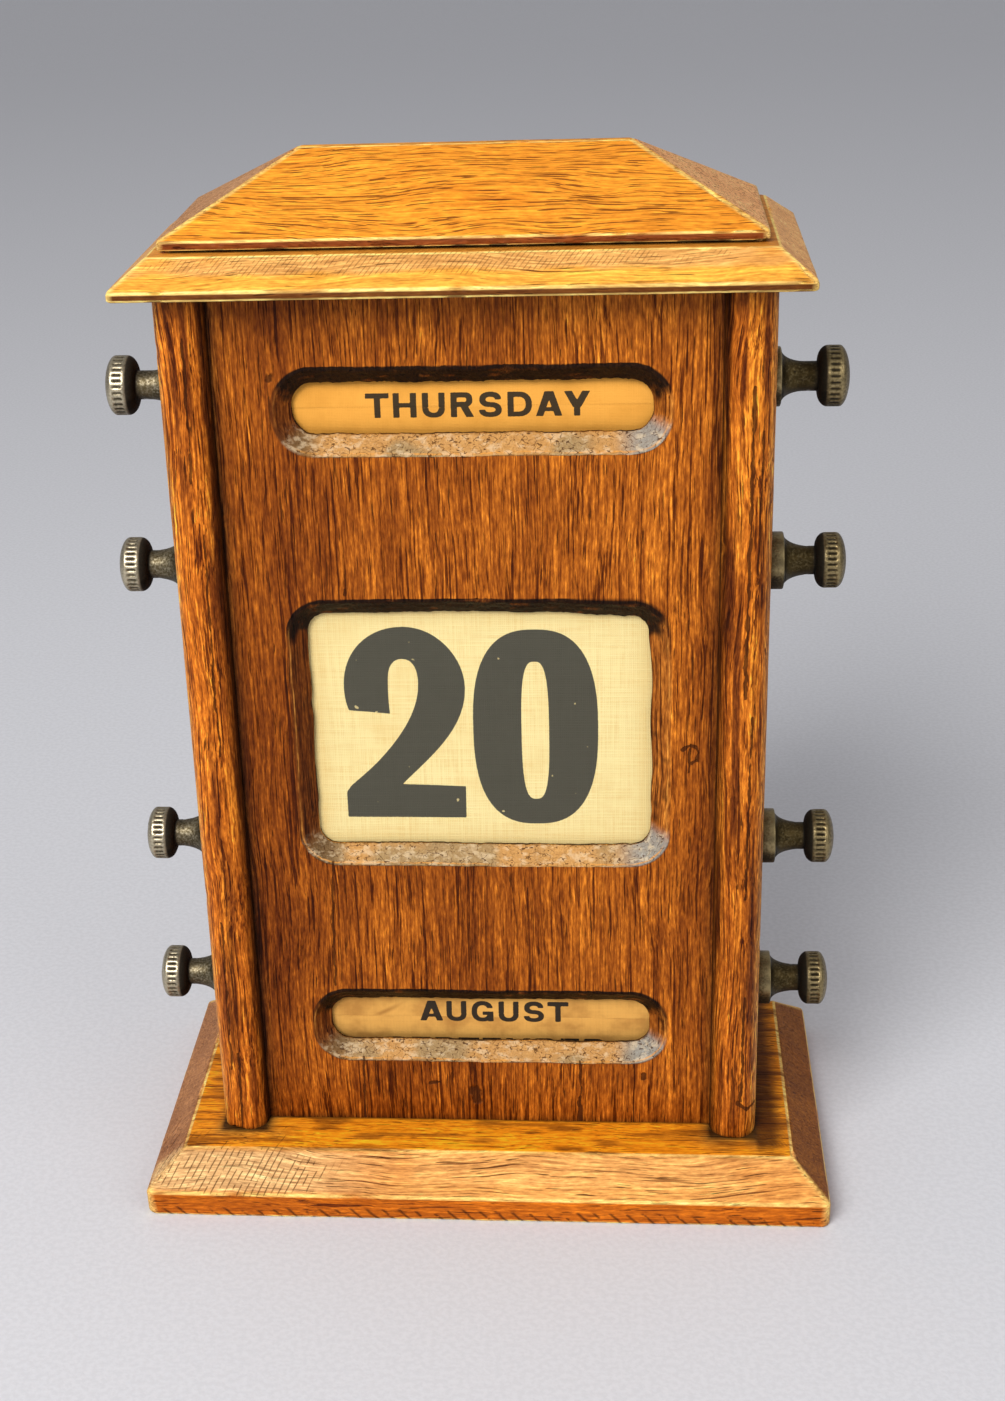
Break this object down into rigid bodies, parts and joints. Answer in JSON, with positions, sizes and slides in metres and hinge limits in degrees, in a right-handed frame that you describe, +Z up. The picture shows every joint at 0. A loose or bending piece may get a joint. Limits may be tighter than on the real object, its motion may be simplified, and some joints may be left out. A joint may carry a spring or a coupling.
{
  "type": "perpetual desk calendar",
  "caption": "Oak-cased perpetual desk calendar with weekday and month drums and a wound date tape, turned by brass knobs at both sides.",
  "frame": {"origin": "middle of the plinth's underside, on the surface that the calendar stands on", "axes": "+X to the calendar's right as seen from its front, +Y to its back, +Z up"},
  "size_m": [0.1386, 0.072, 0.2044],
  "materials": {
    "oak": "aged and waxed oak with open pores",
    "oak_light": "lighter oak, waxed, worn edges",
    "softwood": "unfinished turned wood",
    "brass": "aged bronze-brown patina with bright wear",
    "steel": "dull steel",
    "screw_brass": "tarnished brass",
    "leather": "thin undyed leather",
    "band_linen": "sized linen, amber with age",
    "tape_linen": "sized linen, cream, fine weave"
  },
  "bodies": {
    "case": {"plinth_board": "oak_light", "left_side_board": "oak", "right_side_board": "oak", "front_panel": "oak", "back_panel": "oak", "cornice_board": "oak_light", "cap_block": "oak_light", "plinth_screws": "steel", "back_panel_screws": "screw_brass", "cornice_brads": "steel", "upper_tape_rod": "softwood", "lower_tape_rod": "softwood", "leather_washers": "leather", "date_tape": "tape_linen"},
    "day_roller": {"day_drum": "softwood", "day_band": "band_linen", "day_spindle": "steel", "day_left_knob": "brass", "day_right_knob": "brass", "day_knob_pins": "steel"},
    "upper_date_roller": {"upper_tape_roller": "softwood", "upper_tape_roll": "tape_linen", "upper_spindle": "steel", "upper_left_knob": "brass", "upper_right_knob": "brass", "upper_knob_pins": "steel"},
    "lower_date_roller": {"lower_tape_roller": "softwood", "lower_tape_roll": "tape_linen", "lower_spindle": "steel", "lower_left_knob": "brass", "lower_right_knob": "brass", "lower_knob_pins": "steel"},
    "month_roller": {"month_drum": "softwood", "month_band": "band_linen", "month_spindle": "steel", "month_left_knob": "brass", "month_right_knob": "brass", "month_knob_pins": "steel"}
  },
  "joints": [
    {"name": "day_turn", "type": "hinge", "parent": "case", "child": "day_roller", "pos_m": [0, 0.002, 0.161], "axis": [1, 0, 0], "continuous": true},
    {"name": "upper_date_turn", "type": "hinge", "parent": "case", "child": "upper_date_roller", "pos_m": [0, 0.002, 0.1254], "axis": [1, 0, 0], "range_deg": [-3056, 7346]},
    {"name": "lower_date_turn", "type": "hinge", "parent": "case", "child": "lower_date_roller", "pos_m": [0, 0.002, 0.0669], "axis": [1, 0, 0], "range_deg": [-3056, 7346]},
    {"name": "month_turn", "type": "hinge", "parent": "case", "child": "month_roller", "pos_m": [0, 0.002, 0.034], "axis": [1, 0, 0], "continuous": true}
  ],
  "couplings": [
    {"joint": "lower_date_turn", "follows": "upper_date_turn", "ratio": 1}
  ]
}
